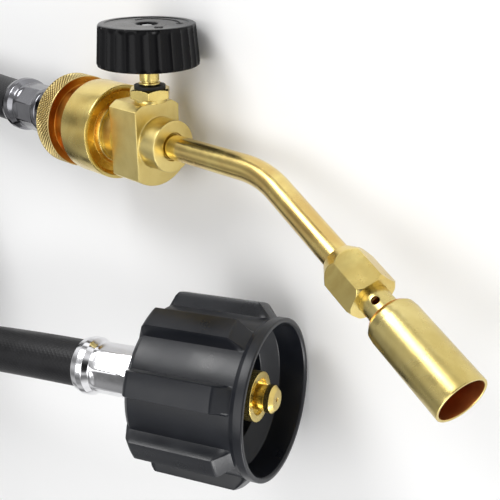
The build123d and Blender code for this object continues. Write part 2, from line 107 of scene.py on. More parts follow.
def rounded(outline, radius, closed=True, arc_points=4):
    """Points of an outline with each corner rounded by a small arc."""
    points = [Vector(point) for point in outline]
    count = len(points)
    result = []
    for index, corner in enumerate(points):
        if not closed and index in (0, count - 1):
            result.append(corner)
            continue
        before = points[index - 1] - corner
        after = points[(index + 1) % count] - corner
        turn = before.angle(after)
        if corner.y < 1e-9 or turn > math.radians(175):
            result.append(corner)
            continue
        reach = min(radius / math.tan(turn / 2), 0.42 * before.length, 0.42 * after.length)
        start = corner + before.normalized() * reach
        end = corner + after.normalized() * reach
        for step in range(arc_points + 1):
            share = step / arc_points
            result.append(
                start * (1 - share) ** 2 + corner * 2 * share * (1 - share) + end * share**2
            )
    return result


def resampled(points, step, closed=True, fine=None):
    """Points with more added so that none lie further apart than a step.

    fine is (low, high, least radius, step) in millimetres, for a stretch with smaller steps."""
    result = []
    last = len(points) if closed else len(points) - 1
    for index in range(last):
        start, end = points[index], points[(index + 1) % len(points)]
        reach = step
        if fine:
            low, high, least, small = (value * MM for value in fine)
            if all(low <= p.x <= high and p.y >= least for p in (start, end)):
                reach = small
        pieces = max(1, math.ceil((end - start).length / reach))
        result += [start.lerp(end, part / pieces) for part in range(pieces)]
    if not closed:
        result.append(points[-1])
    return result


def grid_mesh(name, rows, rows_closed, u_length, v_length):
    """Mesh of quads round an axis from rows of points, with a UV map in metres."""
    row_count, columns, _ = rows.shape
    last_row = row_count if rows_closed else row_count - 1
    i, j = (grid.ravel() for grid in np.mgrid[0:last_row, 0:columns])
    near, far = i * columns, (i + 1) % row_count * columns
    beside = (j + 1) % columns
    faces = np.stack([near + j, near + beside, far + beside, far + j], axis=1)
    v_length = np.array(v_length)
    v0, v1 = v_length[i], v_length[np.minimum(i + 1, len(v_length) - 1)]
    u0, u1 = j / columns * u_length, (j + 1) / columns * u_length
    uvs = np.stack([u0, v0, u1, v0, u1, v1, u0, v1], axis=1)
    mesh = bpy.data.meshes.new(name)
    mesh.from_pydata(rows.reshape(-1, 3).tolist(), [], faces.tolist())
    layer = mesh.uv_layers.new(name="UVMap")
    layer.data.foreach_set("uv", uvs.ravel())
    return mesh


def smooth_mesh(mesh, angle=32.0, weld=2e-6):
    """Weld, make the faces point outwards and shade smooth except across sharp edges."""
    shape = bmesh.new()
    shape.from_mesh(mesh)
    bmesh.ops.remove_doubles(shape, verts=shape.verts, dist=weld)
    bmesh.ops.dissolve_degenerate(shape, edges=shape.edges, dist=1e-7)
    bmesh.ops.recalc_face_normals(shape, faces=shape.faces)
    for face in shape.faces:
        face.smooth = True
    for edge in shape.edges:
        sharp = len(edge.link_faces) == 2 and edge.calc_face_angle(0) > math.radians(angle)
        edge.smooth = not sharp
    shape.to_mesh(mesh)
    shape.free()


def turned(
    name, axes, outline, columns=144, shape=None, rounding=0.12, step=None, closed=True, fine=None
):
    """Piece turned about an axis from a (distance, radius) outline in millimetres.

    shape(distance, radius, angle) may change the radius, for flats, flutes or knurling."""
    origin, along, side, other = axes
    points = rounded([(a * MM, r * MM) for a, r in outline], rounding * MM, closed)
    if step:
        points = resampled(points, step * MM, closed, fine)
    distance = np.array([point.x for point in points])
    radius = np.array([max(point.y, 0) for point in points])
    angle = np.arange(columns) * 2 * math.pi / columns
    grid_r = np.repeat(radius[:, None], columns, axis=1)
    grid_x = np.repeat(distance[:, None], columns, axis=1)
    grid_a = np.repeat(angle[None, :], len(points), axis=0)
    if shape:
        grid_r = shape(grid_x / MM, grid_r / MM, grid_a) * MM
    rows = (
        np.array(origin)[None, None, :]
        + grid_x[..., None] * np.array(along)
        + (grid_r * np.cos(grid_a))[..., None] * np.array(side)
        + (grid_r * np.sin(grid_a))[..., None] * np.array(other)
    )
    steps = np.hypot(np.diff(distance), np.diff(radius))
    v_length = np.concatenate([[0], np.cumsum(steps)])
    v_length = np.concatenate([v_length, [v_length[-1] + 0.5 * MM]])
    u_length = 2 * math.pi * radius.max()
    mesh = grid_mesh(name, rows, closed, u_length, v_length)
    smooth_mesh(mesh)
    return link(name, mesh)


def flats(sides, apothem, phase=0.0, crown=0.0):
    """Radius of a regular many-sided bar at an angle, in millimetres."""

    def reach(angle):
        sector = 2 * math.pi / sides
        local = np.mod(angle - phase + sector / 2, sector) - sector / 2
        return apothem / np.cos(local) + crown * np.cos(local * sides)

    return reach


def frames_along(path):
    """Tangents and a steady pair of side directions along a path."""
    points = np.array(path)
    tangents = np.gradient(points, axis=0)
    tangents /= np.linalg.norm(tangents, axis=1)[:, None]
    side = np.cross(tangents[0], (0, 0, 1.0))
    side /= np.linalg.norm(side)
    sides = []
    for tangent in tangents:
        side = side - tangent * side.dot(tangent)
        side /= np.linalg.norm(side)
        sides.append(side.copy())
    sides = np.array(sides)
    return points, tangents, sides, np.cross(tangents, sides)


def tube(name, path, radius, columns):
    """Round tube along a path, with closed ends."""
    points, tangents, sides, others = frames_along(path)
    angle = np.arange(columns) * 2 * math.pi / columns
    circle = (
        np.cos(angle)[None, :, None] * sides[:, None, :]
        + np.sin(angle)[None, :, None] * others[:, None, :]
    )
    outer = points[:, None, :] + circle * radius
    ends = [np.repeat(points[k][None, :], columns, axis=0) for k in (0, -1)]
    lengths = np.concatenate([[0], np.cumsum(np.linalg.norm(np.diff(points, axis=0), axis=1))])
    rows = np.concatenate([ends[0][None], outer, ends[1][None]])
    v_length = [0.0, *lengths.tolist(), float(lengths[-1]), float(lengths[-1])]
    mesh = grid_mesh(name, rows, False, 2 * math.pi * radius, v_length)
    smooth_mesh(mesh)
    return link(name, mesh)


# ---- Hose route: the same points as the CAD model's route, in metres ----
HOSE_DIAMETER = 16.0 * MM
COIL_CENTRE = Vector((-0.262, -0.058, 0.0))
COIL_RADIUS = 0.080
COIL_FLOOR = 0.0081
COIL_PITCH = 0.0162
COIL_TURNS = 2.58
COIL_START = 80.0
TURN_POINTS = 16
TORCH_FERRULE_START, TORCH_FERRULE_LENGTH = -54.5, 21.7
TANK_FERRULE_START, TANK_FERRULE_LENGTH = -44.5, 25.7
TORCH_FERRULE_REAR = (TORCH_FERRULE_START - TORCH_FERRULE_LENGTH) * MM
TANK_FERRULE_REAR = (TANK_FERRULE_START - TANK_FERRULE_LENGTH) * MM


def coil_point(turns):
    angle = math.radians(COIL_START + 360 * turns)
    wander = 1 + 0.006 * math.sin(5.1 * turns + 0.7)
    return COIL_CENTRE + Vector(
        (
            COIL_RADIUS * wander * math.cos(angle),
            COIL_RADIUS * wander * math.sin(angle),
            COIL_FLOOR + COIL_PITCH * turns,
        )
    )


def coil_heading(turns):
    angle = math.radians(COIL_START + 90 + 360 * turns)
    return Vector((math.cos(angle), math.sin(angle), 0))


def hose_route():
    torch_end = CROSS + X_AXIS * TORCH_FERRULE_REAR
    tank_end = TANK_RIM + TANK_DIR * TANK_FERRULE_REAR
    coil_points = round(TURN_POINTS * COIL_TURNS)
    turns = [COIL_TURNS * k / coil_points for k in range(coil_points + 1)]
    entry = coil_point(0) - coil_heading(0) * 0.042
    leave = coil_point(COIL_TURNS) + coil_heading(COIL_TURNS) * 0.055 + Vector((0, 0, 0.002))
    return [
        torch_end,
        Vector((-0.152, torch_end.y, torch_end.z)),
        entry,
        *[coil_point(turn) for turn in turns],
        leave,
        Vector((-0.132, -0.098, 0.060)),
        tank_end - TANK_DIR * 0.048,
        tank_end,
    ]


def smooth_line(points):
    """Points read from a NURBS spline with the route's points as control points."""
    curve = bpy.data.curves.new("hose_line", "CURVE")
    curve.dimensions = "3D"
    curve.resolution_u = 12
    spline = curve.splines.new("NURBS")
    spline.points.add(len(points) - 1)
    for knot, point in zip(spline.points, points):
        knot.co = (*point, 1.0)
    spline.order_u = 3
    spline.use_endpoint_u = True
    holder = link("hose_line", curve)
    read = bpy.data.meshes.new_from_object(holder)
    line = [Vector(vertex.co) for vertex in read.vertices]
    bpy.data.objects.remove(holder)
    bpy.data.meshes.remove(read)
    return line


make_camera()
hose_line = smooth_line(hose_route())
hose = tube("gas_hose", [tuple(point) for point in hose_line], HOSE_DIAMETER / 2, columns=72)
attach(hose, "torch")
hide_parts("torch_hose", "hose_coil", "tank_hose")


# ---- Materials ----
def new_material(name, color, metallic, roughness, **sockets):
    """Principled material; uniform values go straight on the shader's sockets."""
    material = bpy.data.materials.new(name)
    material.use_nodes = True
    shader = material.node_tree.nodes["Principled BSDF"]
    shader.inputs["Base Color"].default_value = (*color, 1.0)
    shader.inputs["Metallic"].default_value = metallic
    shader.inputs["Roughness"].default_value = roughness
    for socket, value in sockets.items():
        shader.inputs[socket.replace("_", " ")].default_value = value
    material.diffuse_color = (*color, 1.0)
    return material


def add_node(material, kind, **values):
    node = material.node_tree.nodes.new(kind)
    for name, value in values.items():
        if name in node.inputs:
            node.inputs[name].default_value = value
        else:
            setattr(node, name, value)
    return node


def wire(material, start, end):
    material.node_tree.links.new(start, end)


def coordinates(material, source, scale):
    """Texture coordinates from the UV map or from object space, stretched by a scale."""
    place = add_node(material, "ShaderNodeTexCoord")
    mapping = add_node(material, "ShaderNodeMapping")
    mapping.inputs["Scale"].default_value = scale
    wire(material, place.outputs[source], mapping.inputs["Vector"])
    return mapping.outputs["Vector"]


def noise(material, vector, scale, detail=4.0, roughness=0.5, distortion=0.0):
    node = add_node(
        material,
        "ShaderNodeTexNoise",
        Scale=scale,
        Detail=detail,
        Roughness=roughness,
        Distortion=distortion,
    )
    wire(material, vector, node.inputs["Vector"])
    return node.outputs["Fac"]


def ramp(material, value, stops):
    """Colour ramp from (position, colour) stops."""
    node = add_node(material, "ShaderNodeValToRGB")
    elements = node.color_ramp.elements
    for index, (position, color) in enumerate(stops):
        element = elements[index] if index < 2 else elements.new(position)
        element.position = position
        element.color = (*color, 1.0)
    wire(material, value, node.inputs["Fac"])
    return node.outputs["Color"]


def remap(material, value, low, high, start=0.3, end=0.7):
    node = add_node(material, "ShaderNodeMapRange")
    ends = {"From Min": start, "From Max": end, "To Min": low, "To Max": high}
    for socket, number in ends.items():
        node.inputs[socket].default_value = number
    wire(material, value, node.inputs["Value"])
    return node.outputs["Result"]


def bump(material, height, strength, distance, before=None):
    node = add_node(material, "ShaderNodeBump", Strength=strength, Distance=distance)
    wire(material, height, node.inputs["Height"])
    if before:
        wire(material, before, node.inputs["Normal"])
    return node.outputs["Normal"]


def shader_of(material):
    return material.node_tree.nodes["Principled BSDF"]


def brass(name, light, dark, roughness, streak=(1.0, 260.0, 1.0), streak_depth=0.00002):
    """Brass with fine tool marks that run along U, soft stains and uneven polish."""
    material = new_material(name, light, 1.0, roughness)
    shader = shader_of(material)
    marks_at = coordinates(material, "UV", streak)
    marks = noise(material, marks_at, 40.0, detail=3.0, roughness=0.6)
    stains_at = coordinates(material, "Object", (1, 1, 1))
    stains = noise(material, stains_at, 55.0, detail=5.0, roughness=0.6, distortion=0.6)
    color = ramp(material, stains, [(0.34, dark), (0.62, light)])
    wire(material, color, shader.inputs["Base Color"])
    polish = noise(material, stains_at, 160.0, detail=4.0)
    wire(
        material,
        remap(material, polish, roughness - 0.05, roughness + 0.07),
        shader.inputs["Roughness"],
    )
    wire(material, bump(material, marks, 0.35, streak_depth), shader.inputs["Normal"])
    return material


BRASS_LIGHT = (0.84, 0.68, 0.25)
BRASS_SHADE = (0.68, 0.50, 0.15)
turned_brass = brass("turned_brass", BRASS_LIGHT, BRASS_SHADE, 0.24)
block_brass = brass("block_brass", (0.86, 0.71, 0.29), (0.72, 0.56, 0.20), 0.34)
knurled_brass = brass("knurled_brass", (0.74, 0.62, 0.30), (0.58, 0.44, 0.18), 0.30)
knurl_shade = brass("knurl_shade", (0.26, 0.19, 0.07), (0.14, 0.09, 0.03), 0.42)
# Dark red brass for the groove between the coupling and the knurled flange: a painted reflection of the brass
# walls in the groove.
groove_painted_reflection = brass("groove_painted_reflection", (0.68, 0.34, 0.06), (0.42, 0.14, 0.02), 0.30)
# Deeper orange brass for the coupling's recessed front dish: painted shade in the recess.
dish_painted_shade = brass("dish_painted_shade", (0.88, 0.60, 0.12), (0.70, 0.36, 0.05), 0.26)
tube_brass = brass(
    "drawn_brass", BRASS_LIGHT, (0.66, 0.46, 0.16), 0.22, streak=(60.0, 1.5, 1.0)
)
burner_brass = brass("burner_brass", (0.70, 0.58, 0.24), (0.56, 0.44, 0.15), 0.27)
dark_brass = brass("dull_brass", (0.42, 0.30, 0.13), (0.25, 0.16, 0.06), 0.45)
# Darker, redder brass for the faces inside the burner and for the flame holder.
redder_inner_brass = brass("darker_redder_brass", (0.80, 0.36, 0.11), (0.52, 0.19, 0.06), 0.38)


def chrome_material(name, color):
    material = new_material(name, color, 1.0, 0.12)
    shader = shader_of(material)
    where = coordinates(material, "Object", (1, 1, 1))
    smears = noise(material, where, 220.0, detail=4.0, roughness=0.6)
    wire(material, remap(material, smears, 0.07, 0.22), shader.inputs["Roughness"])
    dents = noise(material, where, 90.0, detail=1.5)
    wire(material, bump(material, dents, 0.25, 0.0006), shader.inputs["Normal"])
    return material


def moulded_plastic(name, color, roughness, grain, grain_depth, spread=0.08, **sockets):
    """Moulded plastic with a fine grain and slightly uneven gloss."""
    material = new_material(name, color, 0.0, roughness, **sockets)
    shader = shader_of(material)
    where = coordinates(material, "Object", (1, 1, 1))
    fine = noise(material, where, grain, detail=3.0, roughness=0.7)
    broad = noise(material, where, 70.0, detail=3.0)
    wire(
        material,
        remap(material, broad, roughness - spread, roughness + spread),
        shader.inputs["Roughness"],
    )
    tone = tuple(channel * 1.5 for channel in color)
    wire(material, ramp(material, broad, [(0.3, color), (0.75, tone)]), shader.inputs["Base Color"])
    wire(material, bump(material, fine, 0.3, grain_depth), shader.inputs["Normal"])
    return material


def hose_rubber_material():
    """Black rubber with the faint imprint of the cloth it was cured in."""
    material = new_material("hose_rubber", (0.006, 0.006, 0.007), 0.0, 0.42, Specular_IOR_Level=0.3)
    shader = shader_of(material)
    heights = []
    for lean in (1.0, -1.0):
        place = add_node(material, "ShaderNodeTexCoord")
        mapping = add_node(material, "ShaderNodeMapping")
        mapping.inputs["Rotation"].default_value = (0, 0, math.radians(45 * lean))
        wire(material, place.outputs["UV"], mapping.inputs["Vector"])
        wave = add_node(
            material, "ShaderNodeTexWave", Scale=260.0, Distortion=0.6, Detail=1.0
        )
        wire(material, mapping.outputs["Vector"], wave.inputs["Vector"])
        heights.append(wave.outputs["Fac"])
    weave = add_node(material, "ShaderNodeMath", operation="MULTIPLY")
    wire(material, heights[0], weave.inputs[0])
    wire(material, heights[1], weave.inputs[1])
    where = coordinates(material, "Object", (1, 1, 1))
    patches = noise(material, where, 60.0, detail=5.0, roughness=0.65)
    dust = ramp(material, patches, [(0.35, (0.004, 0.004, 0.005)), (0.72, (0.013, 0.013, 0.015))])
    wire(material, dust, shader.inputs["Base Color"])
    wire(material, remap(material, patches, 0.34, 0.52), shader.inputs["Roughness"])
    first = bump(material, weave.outputs[0], 0.35, 0.00012)
    wire(material, bump(material, patches, 0.15, 0.0004, first), shader.inputs["Normal"])
    return material


chrome = chrome_material("chrome", (0.80, 0.80, 0.82))
# The same chrome darkened to grey, for the torch's ferrule: a painted dark reflection.
chrome_painted_dark_reflection = chrome_material("chrome_painted_dark_reflection", (0.22, 0.22, 0.235))
bright_steel = brass("bright_steel", (0.72, 0.72, 0.74), (0.6, 0.6, 0.62), 0.2)
knob_plastic = moulded_plastic(
    "knob_plastic", (0.003, 0.003, 0.0035), 0.22, 900.0, 0.00002, Specular_IOR_Level=0.13
)
nut_plastic = moulded_plastic(
    "nut_plastic", (0.005, 0.006, 0.009), 0.34, 1400.0, 0.00006, Specular_IOR_Level=0.4
)
bushing_plastic = moulded_plastic("bushing_plastic", (0.02, 0.02, 0.02), 0.5, 1200.0, 0.00004)
seal_rubber = moulded_plastic("seal_rubber", (0.012, 0.012, 0.012), 0.6, 1600.0, 0.00005)
mark_paint = moulded_plastic("mark_recess", (0.003, 0.003, 0.003), 0.6, 1600.0, 0.00003)
hose_rubber = hose_rubber_material()


def dress(piece, material, body, slot, *nodes):
    """Give a piece its material and body, and hide the CAD nodes it stands for; the slot argument is not used."""
    piece.data.materials.clear()
    piece.data.materials.append(material)
    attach(piece, body)
    if nodes:
        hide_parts(*nodes)
    return piece


def paint_node(node, material):
    piece = frame["nodes"][node]
    piece.data.materials.clear()
    piece.data.materials.append(material)


def paint_faces(piece, material, axes, low, high, radius=(0, 1000)):
    """Give another material to the faces within a range of distance and of radius."""
    origin, along, _, _ = axes
    piece.data.materials.append(material)
    index = len(piece.data.materials) - 1
    for face in piece.data.polygons:
        offset = face.center - origin
        distance = offset.dot(along) / MM
        reach = (offset - along * offset.dot(along)).length / MM
        if low <= distance <= high and radius[0] <= reach <= radius[1]:
            face.material_index = index


# ---- Valve body: bar with two side flats and a flat for the gland nut ----
TUBE_START = 4.4
BODY_RADIUS = 14.4
BODY_REAR, BODY_FRONT = -10.0, 3.2
BODY_FLAT = 9.05
SPOT_FACE = 13.0
SPIGOT_END, SPIGOT_RADIUS = -22.4, 6.0
HUB_FRONT = -14.9
HUB_RADIUS = 9.3
BOSS_END, BOSS_RADIUS = 10.4, 8.4
GAS_BORE = 1.5


def body_flats(distance, radius, angle):
    inside = (distance > BODY_REAR - 0.01) & (distance < BODY_FRONT + 0.01) & (radius > 8.9)
    side = BODY_FLAT / np.maximum(np.abs(np.cos(angle)), 1e-6)
    top = SPOT_FACE / np.maximum(-np.sin(angle), 1e-6)
    edge = (BODY_RADIUS - radius).clip(0, 0.35)
    return np.where(inside, np.minimum(radius, np.minimum(side, top) - edge), radius)


def make_valve_body():
    outline = [
        (SPIGOT_END, GAS_BORE),
        (SPIGOT_END, SPIGOT_RADIUS),
        (HUB_FRONT, SPIGOT_RADIUS),
        (HUB_FRONT, HUB_RADIUS),
        (BODY_REAR, HUB_RADIUS),
        (BODY_REAR, BODY_RADIUS),
        (BODY_FRONT, BODY_RADIUS),
        (BODY_FRONT, BOSS_RADIUS),
        (BOSS_END, BOSS_RADIUS),
        (BOSS_END, 4.45),
        (9.4, 4.45),
        (9.4, 4.05),
        (TUBE_START, 4.05),
        (TUBE_START, GAS_BORE),
    ]
    body = turned(
        "valve_block", INLET, outline, columns=720, shape=body_flats, rounding=0.35, step=1.2
    )
    dress(body, block_brass, "torch", "brass_body", "valve_body")


# ---- Inlet side: coupling, knurled hose fitting and ferrule ----
COUPLING_FRONT, COUPLING_REAR = -14.9, -28.4
COUPLING_RADIUS = 15.9
GROOVE_RADIUS = 13.2
BARB_RADIUS = 4.6
FLANGE_REAR, FLANGE_FRONT = -42.7, -35.6
FLANGE_RADIUS = 15.95
KNURL_ROWS = 5.5
KNURL_COUNT = 76
KNURL_DEPTH = 0.55


def triangle(phase):
    return 1 - np.abs(np.mod(phase, 1.0) * 2 - 1)


def knurl(distance, radius, angle):
    along = (distance - FLANGE_REAR) / (FLANGE_FRONT - FLANGE_REAR) * KNURL_ROWS
    around = angle / (2 * math.pi) * KNURL_COUNT
    peaks = np.minimum(triangle(around + along), triangle(around - along))
    inside = (distance > FLANGE_REAR + 0.45) & (distance < FLANGE_FRONT - 0.45)
    inside &= radius > FLANGE_RADIUS - 0.2
    return np.where(inside, radius - KNURL_DEPTH * (1 - 1.5 * peaks).clip(0, 1), radius)


def make_inlet():
    coupling = turned(
        "coupling_cup",
        INLET,
        [
            (COUPLING_FRONT, SPIGOT_RADIUS),
            (COUPLING_FRONT, 10.2),
            (-16.5, 11.0),
            (-16.5, 13.6),
            (COUPLING_FRONT, 14.7),
            (COUPLING_FRONT, COUPLING_RADIUS),
            (COUPLING_REAR, COUPLING_RADIUS),
            (COUPLING_REAR, 12.7),
            (-18.9, 12.7),
            (-18.9, SPIGOT_RADIUS),
        ],
        columns=256,
        rounding=0.4,
    )
    dress(coupling, turned_brass, "torch", "brass_fitting", "inlet_coupling")
    # The recessed dish in the coupling's front face gets the orange brass, painted shade in the recess.
    paint_faces(coupling, dish_painted_shade, INLET, -16.8, -15.1, (6.0, 14.6))
    fitting = turned(
        "knurled_fitting",
        INLET,
        [
            (-20.4, 6.3),
            (-20.4, 12.6),
            (COUPLING_REAR, 12.6),
            (COUPLING_REAR, GROOVE_RADIUS),
            (FLANGE_FRONT, GROOVE_RADIUS),
            (FLANGE_FRONT, FLANGE_RADIUS),
            (FLANGE_REAR, FLANGE_RADIUS),
            (FLANGE_REAR, 7.0),
            (TORCH_FERRULE_START, 7.0),
            (TORCH_FERRULE_START, BARB_RADIUS),
            (-74.2, BARB_RADIUS),
            (-74.2, 2.6),
            (-25.4, 2.6),
            (-25.4, 6.3),
        ],
        columns=KNURL_COUNT * 12,
        shape=knurl,
        rounding=0.3,
        step=6.0,
        fine=(FLANGE_REAR - 0.1, FLANGE_FRONT + 0.1, 15.0, 0.16),
    )
    dress(fitting, knurled_brass, "torch", "brass_fitting", "hose_fitting")
    valley = FLANGE_RADIUS - 0.5 * KNURL_DEPTH
    paint_faces(fitting, knurl_shade, INLET, FLANGE_REAR + 0.5, FLANGE_FRONT - 0.5, (15, valley))
    # The groove and the flange's front wall get the dark red brass, a painted reflection in the groove.
    paint_faces(fitting, groove_painted_reflection, INLET, FLANGE_FRONT - 0.35, -28.0, (12.9, 15.7))


CRIMP_FLAT = 8.15


def make_ferrule(name, axes, start, length, metal, node):
    """Bright ferrule with an eight-sided crimp, rounded ridges and a flared bell."""
    rear = start - length
    crimp_front, crimp_rear = start - 2.8, rear + 7.5
    edge = flats(8, CRIMP_FLAT, crown=0.05)

    def crimp(distance, radius, angle):
        fade_in = ((crimp_front - distance) / 1.2).clip(0, 1)
        fade_out = ((distance - crimp_rear) / 1.6).clip(0, 1)
        share = fade_in * fade_out
        share = share * share * (3 - 2 * share)
        squeezed = np.minimum(radius, edge(angle))
        return np.where(radius > 7.0, radius * (1 - share) + squeezed * share, radius)

    outline = [
        (start, BARB_RADIUS),
        (start, 7.4),
        (start - 1.0, 8.7),
        (start - 2.6, 8.8),
        (rear + 6.7, 8.6),
        (rear + 4.8, 9.7),
        (rear + 2.7, 9.85),
        (rear + 0.9, 9.3),
        (rear, 9.0),
        (rear, BARB_RADIUS),
    ]
    ferrule = turned(
        name, axes, outline, columns=192, shape=crimp, rounding=0.7, step=0.5
    )
    dress(ferrule, metal, "torch", "chrome", node)
    return ferrule


# ---- Stem side: gland nut, stem, knob and its screw ----
GLAND_COLLAR, GLAND_TOP = 14.2, 17.4
KNOB_BOTTOM, KNOB_TOP = 24.7, 37.4
KNOB_RADIUS, KNOB_TOP_RADIUS = 16.2, 15.1
KNOB_FLUTES = 28
FLUTE_DEPTH = 0.5
GLAND_APOTHEM = 6.0
GLAND_TURN = math.radians(16)
MARKS_TURN = math.radians(136)
ARROW_RADII = (9.7, 10.3)
ARROW_STEPS, ARROW_STEP = 24, 4.2
MARKS_RADIUS = 9.0


def flutes(distance, radius, angle):
    phase = np.mod(angle / (2 * math.pi) * KNOB_FLUTES, 1.0) * 2 - 1
    groove = FLUTE_DEPTH * (1 - np.abs(phase) ** 2.2)
    upper = ((KNOB_TOP - 0.1 - distance) / 1.3).clip(0, 1)
    lower = ((distance - KNOB_BOTTOM) / 0.8).clip(0, 1)
    outer = ((radius - 14.3) / 0.6).clip(0, 1)
    return radius - groove * upper * lower * outer


def make_knob_marks():
    """Generic open and close marks on the knob's top: a curved arrow, a plus and a minus."""
    origin, along, side, other = STEM
    height = (KNOB_TOP - 0.2) * MM
    strips = []
    for k in range(ARROW_STEPS):
        ends = [MARKS_TURN + math.radians(105 - ARROW_STEP * step) for step in (k, k + 1)]
        inner, outer = ARROW_RADII
        strips.append([(inner, ends[0]), (outer, ends[0]), (outer, ends[1]), (inner, ends[1])])
    tip = MARKS_TURN + math.radians(1)
    strips.append([(8.9, tip), (11.1, tip), (10.1, tip - 0.16)])
    corners, faces = [], []

    def point(across, back):
        return tuple(origin + along * height + (side * across + other * back) * MM)

    for strip in strips:
        faces.append(tuple(range(len(corners), len(corners) + len(strip))))
        corners.extend(point(r * math.cos(a), r * math.sin(a)) for r, a in strip)
    for centre_angle, bars in ((MARKS_TURN + 1.9, 1), (MARKS_TURN - 1.1, 2)):
        centre = Vector((math.cos(centre_angle), math.sin(centre_angle))) * MARKS_RADIUS
        for bar in range(bars):
            reach = Vector((1.5, 0.35)) if bar == 0 else Vector((0.35, 1.5))
            faces.append(tuple(range(len(corners), len(corners) + 4)))
            for sx, sy in ((-1, -1), (1, -1), (1, 1), (-1, 1)):
                corners.append(point(centre.x + sx * reach.x, centre.y + sy * reach.y))
    mesh = bpy.data.meshes.new("knob_marks")
    mesh.from_pydata(corners, [], faces)
    marks = link("knob_marks", mesh)
    thick = marks.modifiers.new("thickness", "SOLIDIFY")
    thick.thickness = 0.12 * MM
    thick.offset = 0.0
    depsgraph = bpy.context.evaluated_depsgraph_get()
    solid = bpy.data.meshes.new_from_object(marks.evaluated_get(depsgraph))
    marks.modifiers.clear()
    marks.data = solid
    smooth_mesh(marks.data)
    dress(marks, mark_paint, "knob", "knob_plastic")


def make_stem_side():
    hexagon = flats(6, GLAND_APOTHEM, phase=GLAND_TURN)

    def gland_shape(distance, radius, angle):
        return np.minimum(radius, hexagon(angle))

    gland = turned(
        "gland_hex",
        STEM,
        [
            (10.2, 1.85),
            (10.2, 2.7),
            (SPOT_FACE, 2.7),
            (SPOT_FACE, 5.2),
            (GLAND_COLLAR, 5.2),
            (GLAND_COLLAR, 6.1),
            (GLAND_COLLAR + 0.5, 6.9),
            (GLAND_TOP - 0.5, 6.9),
            (GLAND_TOP, 6.0),
            (GLAND_TOP, 1.85),
        ],
        columns=360,
        shape=gland_shape,
        rounding=0.08,
        step=0.25,
    )
    dress(gland, turned_brass, "torch", "brass_body", "gland_nut")
    stem = turned(
        "stem_rod",
        STEM,
        [
            (1.35, 0),
            (1.35, 0.7),
            (2.05, 1.4),
            (4.5, 1.4),
            (4.5, 1.8),
            (18.6, 1.8),
            (18.6, 3.4),
            (19.2, 3.4),
            (19.2, 2.6),
            (19.7, 2.6),
            (19.7, 3.1),
            (24.6, 3.1),
            (24.6, 2.4),
            (35.0, 2.4),
            (35.0, 0),
        ],
        rounding=0.12,
        closed=False,
    )
    dress(stem, turned_brass, "stem", "brass_body", "valve_stem")
    knob = turned(
        "fluted_knob",
        STEM,
        [
            (KNOB_BOTTOM, 2.45),
            (KNOB_BOTTOM, 6.5),
            (KNOB_BOTTOM + 1.0, 7.0),
            (KNOB_BOTTOM + 1.0, 13.6),
            (KNOB_BOTTOM, 14.2),
            (KNOB_BOTTOM, KNOB_RADIUS),
            (KNOB_TOP, KNOB_TOP_RADIUS),
            (KNOB_TOP, 13.2),
            (KNOB_TOP - 0.25, 12.9),
            (KNOB_TOP - 0.25, 3.3),
            (35.2, 3.3),
            (35.2, 2.45),
        ],
        columns=KNOB_FLUTES * 24,
        shape=flutes,
        rounding=0.7,
        step=3.0,
        fine=(KNOB_BOTTOM - 0.1, KNOB_TOP + 0.1, 14.2, 0.5),
    )
    dress(knob, knob_plastic, "knob", "knob_plastic", "knob")
    make_knob_marks()
    screw = turned(
        "screw_head",
        STEM,
        [
            (29.2, 0),
            (29.2, 1.1),
            (35.25, 1.1),
            (35.25, 2.3),
            (36.1, 2.3),
            (36.7, 1.5),
            (36.8, 0),
        ],
        rounding=0.25,
        closed=False,
        columns=96,
    )
    dress(screw, bright_steel, "knob", "steel", "knob_screw")


# ---- Feed tube, jet housing and burner ----
TUBE_RADIUS = 4.0
BEND_RADIUS = 37.3
TUBE_AFTER_BEND = 34.5
HEX_APOTHEM = 6.45
HEX_CORNER = 7.45
BURNER_RADIUS, BURNER_BORE = 7.2, 6.4
BURNER_MOUTH = 80.4
AIR_HOLES_AT, AIR_HOLE_RADIUS = 49.1, 1.15


def feed_tube_path():
    bend = X_AXIS.angle(BURNER_DIR)
    toward = (BURNER_DIR - X_AXIS * BURNER_DIR.dot(X_AXIS)).normalized()

    def round_bend(angle):
        return (X_AXIS * math.sin(angle) + toward * (1 - math.cos(angle))) * BEND_RADIUS * MM

    bend_start = BEND_END - round_bend(bend)
    start = CROSS + X_AXIS * TUBE_START * MM
    path = [start.lerp(bend_start, k / 12) for k in range(12)]
    path += [bend_start + round_bend(bend * k / 24) for k in range(25)]
    path += [BEND_END + BURNER_DIR * TUBE_AFTER_BEND * MM * k / 10 for k in range(1, 11)]
    return path


